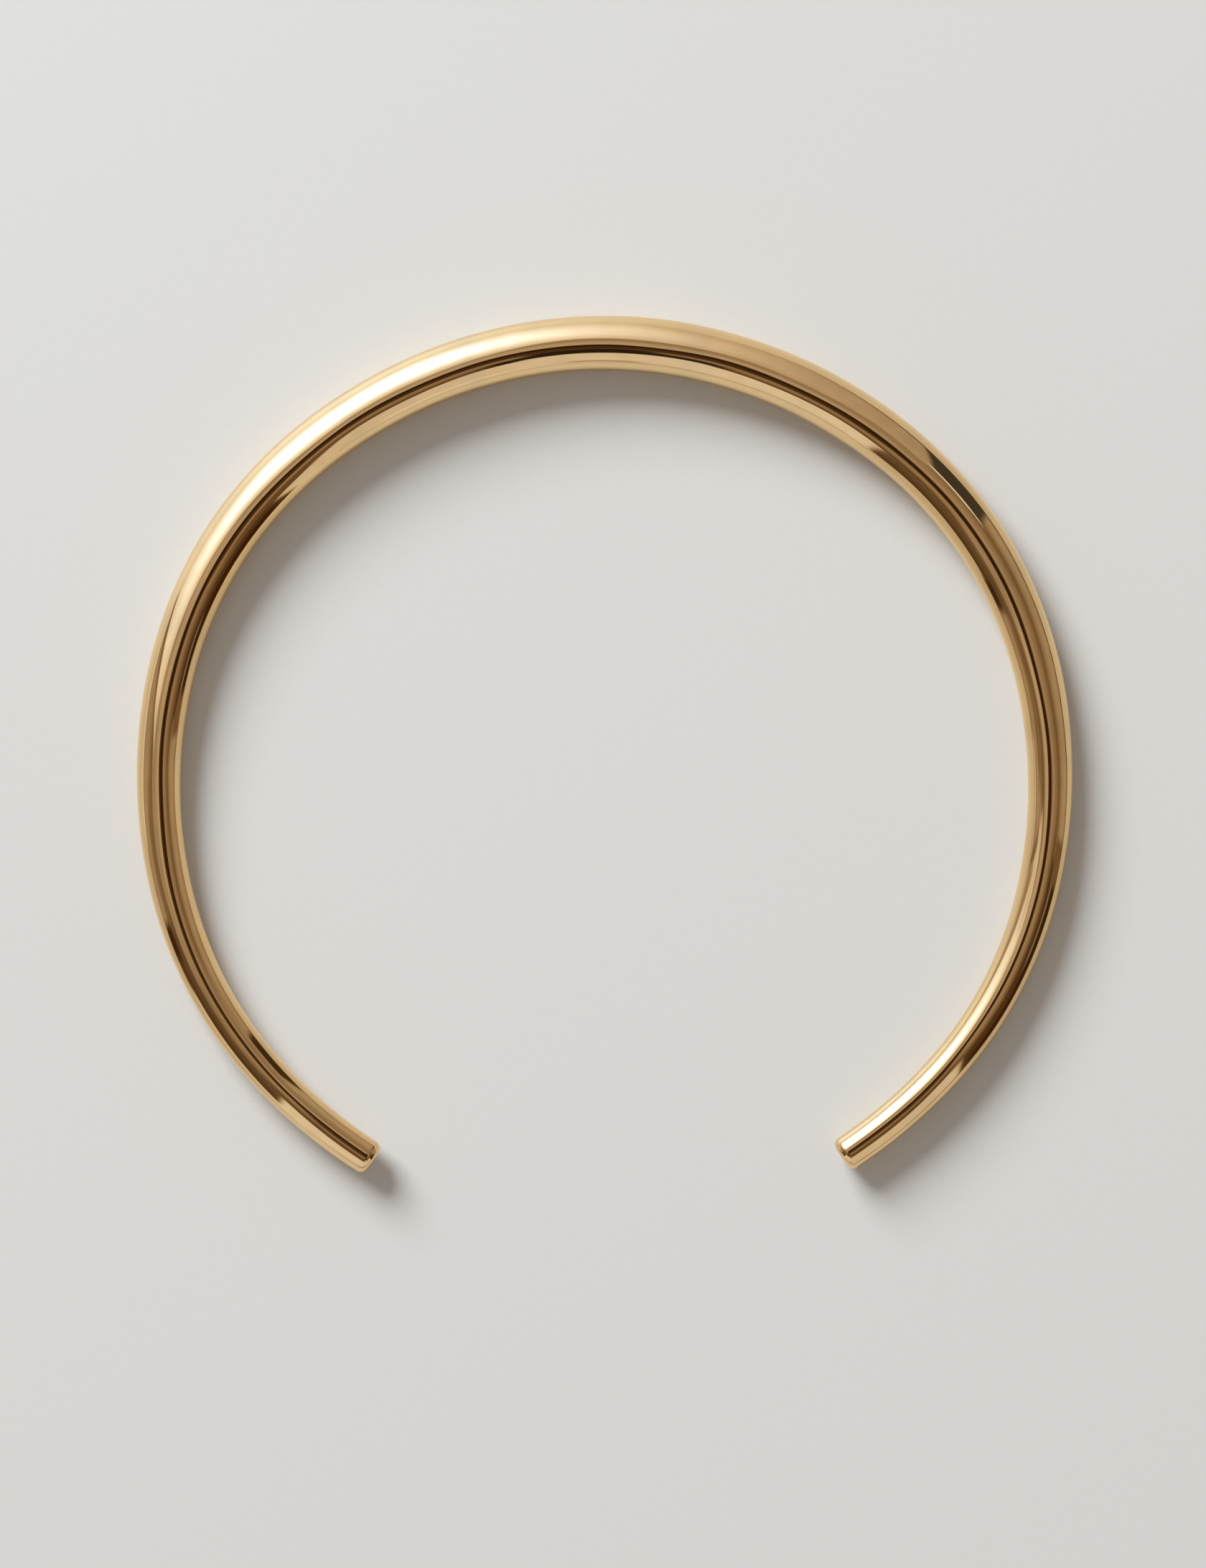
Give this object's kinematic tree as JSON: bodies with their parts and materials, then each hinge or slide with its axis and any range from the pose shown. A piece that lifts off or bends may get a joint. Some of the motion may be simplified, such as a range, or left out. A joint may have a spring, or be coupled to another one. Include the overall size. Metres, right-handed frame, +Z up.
{
  "type": "collar choker",
  "caption": "Rigid open collar choker: a plain polished round bar bent into an oval that goes round the neck, thickest at the front and tapering to flat tips with a gap between them.",
  "frame": {"origin": "on the surface that the collar lies on, under the middle of its bounding box", "axes": "+Z up, away from the surface, which is also the way the neck passes through; +Y towards the thick front of the collar, so the gap between the tips faces -Y; +X to the right seen from above with the front at the top"},
  "size_m": [0.1374, 0.1256, 0.0081],
  "materials": {
    "polished_gold": "gold-plated brass, polished to a mirror, with very fine buffing lines along the bar"
  },
  "bodies": {
    "root": {"collar": "polished_gold"}
  },
  "joints": []
}
